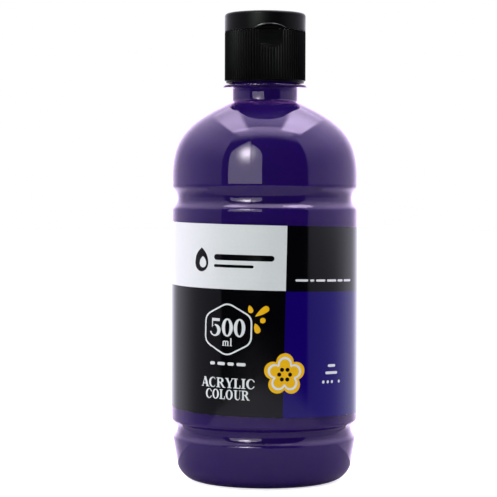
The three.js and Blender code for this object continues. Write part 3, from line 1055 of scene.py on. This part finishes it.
def seal_foam():
    made, nodes = material("seal_foam")
    cells = nodes.add("ShaderNodeTexVoronoi", {"Scale": 2500}).outputs["Distance"]
    shader = nodes.add(
        "ShaderNodeBsdfPrincipled",
        {
            "Base Color": nodes.mix_colours(cells, FOAM_LIGHT, FOAM_DARK),
            "Roughness": nodes.ramp(cells, 0, 1, 0.75, 0.95),
            "Normal": nodes.bump(cells, distance=0.08 * MM),
        },
    )
    nodes.finish(shader.outputs[0])
    return made


def build():
    cap_black = cap_plastic()
    inks = [
        ink("label_black", INK_BLACK, 0.09),
        ink("label_white", INK_WHITE, 0.2),
        ink("label_purple", INK_PURPLE, 0.09),
        ink("label_yellow", INK_YELLOW, 0.2),
    ]
    place(bottle(), "bottle", "clear_plastic", ["bottle"], [clear_plastic()])
    place(paint(), "bottle", "purple_paint", ["paint_fill"], [purple_paint()])
    place(label(), "bottle", "label_film", ["wrap_label"], inks)
    place(foil_seal(), "bottle", "seal_foil", ["foil_seal"], [seal_foil()])
    place(cap_gasket(), "gasket", "seal_foam", ["cap_gasket"], [seal_foam()])
    place(cap_base(), "cap", "cap_plastic", ["cap_base"], [cap_black])
    place(flip_lid(), "lid", "lid_plastic", ["flip_lid"], [lid_plastic()])
    place(thumb_lip(), "lid", "lid_plastic", [], [lip_plastic()])
    for node in ("hinge_web", "hinge_strap_left", "hinge_strap_right"):
        strip = hinge_strip(node)
        strip.data.materials.append(cap_black)
        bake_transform(strip)
        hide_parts(node)


# ---- Studio ----

CAMERA_AZIMUTH = math.radians(-7.8)
CAMERA_DISTANCE = 0.735
CAMERA_HEIGHT = 0.109
AIM_HEIGHT = 0.0902
AIM_OFFSET = -0.0063
CAMERA_ROLL = math.radians(0.15)
VIEW_WIDTH = 0.194327
SENSOR_WIDTH_MM = 36
FLOOR_RADIUS = 6000
FLOOR_BRIGHTNESS = 0.85
FLOOR_GLOW = 0.6
TABLE_RADIUS = 250
TABLE_BRIGHTNESS = 0.38
TABLE_FORWARD = 0.215
TABLE_BELOW_FLOOR = 0.2 * MM
FILL_AZIMUTH = math.radians(105)
FILL_DISTANCE = 1.3
FILL_HEIGHT = 0.75
FILL_SIZE = 0.9
FILL_POWER = 13.5
FILL_COLOUR = (0.97, 0.82, 1)
FILL_TARGET = Vector((0, 0, 0.09))
WALL_COLOUR = (0.88, 0.85, 1, 1)
SOFTBOX_COLOUR = (0.97, 1.06, 0.97, 1)
ROOM_GLIMMER = 0.003
WALL_START_AZIMUTH = 55
BACKDROP_BRIGHTNESS = 1.6
LEFT_STRIP_BRIGHTNESS = 5.3
RIGHT_STRIP_BRIGHTNESS = 7.4
FRONT_BAR_BRIGHTNESS = 2.6
SOFTBOX_BRIGHTNESS = 1.95
SOFTBOX_HOT_BRIGHTNESS = 18.0
SOFTBOX_AZIMUTH = -24.5
SOFTBOX_HALF_WIDTH = 21
SOFTBOX_HOT_ELEVATION = 27
FRONT = Vector((math.sin(CAMERA_AZIMUTH), -math.cos(CAMERA_AZIMUTH), 0))
RIGHT = Vector((math.cos(CAMERA_AZIMUTH), math.sin(CAMERA_AZIMUTH), 0))


def camera():
    data = bpy.data.cameras.new("camera")
    data.sensor_width = SENSOR_WIDTH_MM
    data.lens = data.sensor_width * CAMERA_DISTANCE / VIEW_WIDTH
    data.clip_end = 50
    made = bpy.data.objects.new("camera", data)
    bpy.context.scene.collection.objects.link(made)
    made.location = FRONT * CAMERA_DISTANCE + Vector((0, 0, CAMERA_HEIGHT))
    aim = RIGHT * AIM_OFFSET + Vector((0, 0, AIM_HEIGHT))
    made.rotation_mode = "QUATERNION"
    level = (aim - made.location).to_track_quat("-Z", "Y")
    made.rotation_quaternion = level @ Quaternion((0, 0, 1), CAMERA_ROLL)
    bpy.context.scene.camera = made


def floor(name, radius_mm, brightness, glow):
    """A round pale floor with a faint grain."""
    made, nodes = material(name)
    speckle = nodes.noise(20, detail=4)
    pale = (brightness, brightness, brightness, 1)
    shader = nodes.add(
        "ShaderNodeBsdfPrincipled",
        {
            "Base Color": nodes.mix_colours(speckle, scaled(pale, 0.95), pale),
            "Roughness": 0.8,
            "Specular IOR Level": 0.1,
            "Emission Color": (1, 1, 1, 1),
            "Emission Strength": glow,
        },
    )
    nodes.finish(shader.outputs[0])
    disc = [(radius_mm * x, radius_mm * y, 0) for x, y in arc((0, 0), 1, 0, 2 * math.pi, 64)[:-1]]
    obj = mesh_object(name, disc, [list(range(len(disc)))])
    obj.location.z = cad_low.z
    obj.data.materials.append(made)
    return obj


def floors():
    """A wide bright floor that isn't reflected, and a darker table top that the camera doesn't see.

    The table top reaches from under the bottle towards the camera, and darkens the reflections of its foot.
    """
    wide = floor("floor", FLOOR_RADIUS, FLOOR_BRIGHTNESS, FLOOR_GLOW)
    wide.visible_glossy = False
    wide.visible_diffuse = False
    table = floor("table_top", TABLE_RADIUS, TABLE_BRIGHTNESS, 0.0)
    table.visible_camera = False
    table.location += FRONT * TABLE_FORWARD
    table.location.z -= TABLE_BELOW_FLOOR


def side_fill(name, azimuth):
    """A soft lamp beside and a little behind the bottle, which isn't mirrored in the plastic."""
    data = bpy.data.lights.new(name, "AREA")
    data.shape = "DISK"
    data.size = FILL_SIZE
    data.energy = FILL_POWER
    data.color = FILL_COLOUR
    lamp = bpy.data.objects.new(name, data)
    bpy.context.scene.collection.objects.link(lamp)
    ahead = FRONT * math.cos(azimuth) + RIGHT * math.sin(azimuth)
    lamp.location = ahead * FILL_DISTANCE + Vector((0, 0, FILL_HEIGHT))
    lamp.rotation_mode = "QUATERNION"
    lamp.rotation_quaternion = (FILL_TARGET - lamp.location).to_track_quat("-Z", "Y")
    lamp.visible_camera = False
    lamp.visible_glossy = False
    lamp.visible_transmission = False


class Sky:
    """Where a direction lies in the room, as node values.

    Azimuth is in degrees to the camera's right of straight towards the camera, and elevation in degrees up.
    The ceiling's x runs to the right and its y away from the camera, in units of its height.
    """

    def __init__(self, nodes):
        direction = nodes.add("ShaderNodeTexCoord").outputs["Generated"]
        ahead = nodes.dot(direction, FRONT)
        across = nodes.dot(direction, RIGHT)
        up = nodes.dot(direction, Vector((0, 0, 1)))
        degrees = 180 / math.pi
        self.azimuth = nodes.maths("MULTIPLY", nodes.maths("ARCTAN2", across, ahead), degrees)
        self.elevation = nodes.maths("MULTIPLY", nodes.maths("ARCSINE", up), degrees)
        self.away = nodes.maths("ABSOLUTE", self.azimuth)
        above = nodes.maths("MAXIMUM", up, 0.02)
        self.ceiling_x = nodes.maths("DIVIDE", across, above)
        self.ceiling_y = nodes.maths("DIVIDE", nodes.maths("MULTIPLY", ahead, -1), above)


def walls(nodes, sky):
    """Walls beside and behind the bottle and a pale ceiling; brightest low down behind it, dark in front."""
    beside = nodes.ramp(sky.away, 53, 55.5)
    overhead = nodes.ramp(sky.ceiling_y, -0.76, -0.35)
    lit = nodes.maths("MAXIMUM", beside, overhead)
    right_side = nodes.ramp(sky.azimuth, 52, 60, 0, 0.14)
    sides = nodes.total(nodes.ramp(sky.away, WALL_START_AZIMUTH, 130, 0.46, 0.95), right_side)
    behind = nodes.ramp(sky.away, 130, 165, 0, BACKDROP_BRIGHTNESS)
    backdrop = nodes.product(behind, nodes.ramp(sky.elevation, 12, 40, 1, 0))
    high = nodes.ramp(sky.elevation, 10, 45, 0, 0.75)
    foot = nodes.ramp(sky.away, 85, 125, 0.5, 0.95)
    low = nodes.ramp(sky.elevation, -2.5, 0.5, foot, 1)
    return nodes.product(lit, low, nodes.total(sides, backdrop, high))


def ceiling_lights(nodes, sky):
    """Two strips from front to back and a dimmer bar between their front ends."""
    depth = nodes.within(sky.ceiling_y, -0.17, 1.6, 0.08)
    fade = nodes.ramp(sky.ceiling_y, 0, 1.1, 1, 0.15)
    left_width = nodes.within(sky.ceiling_x, -0.54, -0.25, 0.04)
    right_width = nodes.within(sky.ceiling_x, 0.25, 0.64, 0.04)
    left = nodes.product(left_width, depth, fade, LEFT_STRIP_BRIGHTNESS)
    right = nodes.product(right_width, depth, fade, RIGHT_STRIP_BRIGHTNESS)
    bar_front = nodes.ramp(sky.ceiling_y, -0.6, -0.12)
    bar_back = nodes.ramp(sky.ceiling_y, -0.02, -0.1)
    bar_width = nodes.within(sky.ceiling_x, -0.5, 0.5, 0.06)
    bar = nodes.product(bar_width, nodes.product(bar_front, bar_back), FRONT_BAR_BRIGHTNESS)
    return nodes.total(left, right, bar)


def softbox(nodes, sky):
    """A lamp to the left of the camera, narrower towards its top and brightest in its middle."""
    half_width = nodes.ramp(sky.elevation, 56, 24, 0, SOFTBOX_HALF_WIDTH)
    to_side = nodes.maths("ABSOLUTE", nodes.maths("SUBTRACT", sky.azimuth, SOFTBOX_AZIMUTH))
    inside = nodes.ramp(nodes.maths("SUBTRACT", to_side, half_width), 0.8, -0.8)
    sill = nodes.ramp(sky.azimuth, -45, -5, 0.45, -0.1)
    raised = nodes.ramp(nodes.maths("SUBTRACT", sky.elevation, sill), -0.15, 0.15)
    side_share = nodes.maths("DIVIDE", to_side, 8)
    above_hot = nodes.maths("SUBTRACT", sky.elevation, SOFTBOX_HOT_ELEVATION)
    height_share = nodes.maths("DIVIDE", above_hot, 9)
    from_hot = nodes.total(nodes.maths("POWER", side_share, 2), nodes.maths("POWER", height_share, 2))
    hot = nodes.maths("EXPONENT", nodes.maths("MULTIPLY", from_hot, -1))
    brightness = nodes.total(SOFTBOX_BRIGHTNESS, nodes.product(hot, SOFTBOX_HOT_BRIGHTNESS))
    return nodes.product(inside, raised, brightness)


def studio():
    """The light that the bottle sees all round it; the camera sees plain white."""
    world = bpy.data.worlds.new("studio")
    bpy.context.scene.world = world
    world.use_nodes = True
    nodes = Nodes(world.node_tree)
    sky = Sky(nodes)
    strength = nodes.total(walls(nodes, sky), ceiling_lights(nodes, sky), ROOM_GLIMMER)
    room = nodes.add("ShaderNodeBackground", {"Color": WALL_COLOUR, "Strength": strength})
    box_strength = softbox(nodes, sky)
    box = nodes.add("ShaderNodeBackground", {"Color": SOFTBOX_COLOUR, "Strength": box_strength})
    light = nodes.add("ShaderNodeAddShader", {0: room.outputs[0], 1: box.outputs[0]})
    seen = nodes.add("ShaderNodeBackground", {"Color": (1, 1, 1, 1), "Strength": 1.0})
    is_camera = nodes.add("ShaderNodeLightPath").outputs["Is Camera Ray"]
    mixed = nodes.add("ShaderNodeMixShader", {0: is_camera, 1: light.outputs[0], 2: seen.outputs[0]})
    nodes.add("ShaderNodeOutputWorld", {"Surface": mixed.outputs[0]})
    bpy.context.scene.view_settings.view_transform = "Standard"


build()
floors()
studio()
side_fill("fill_left", -FILL_AZIMUTH)
side_fill("fill_right", FILL_AZIMUTH)
camera()
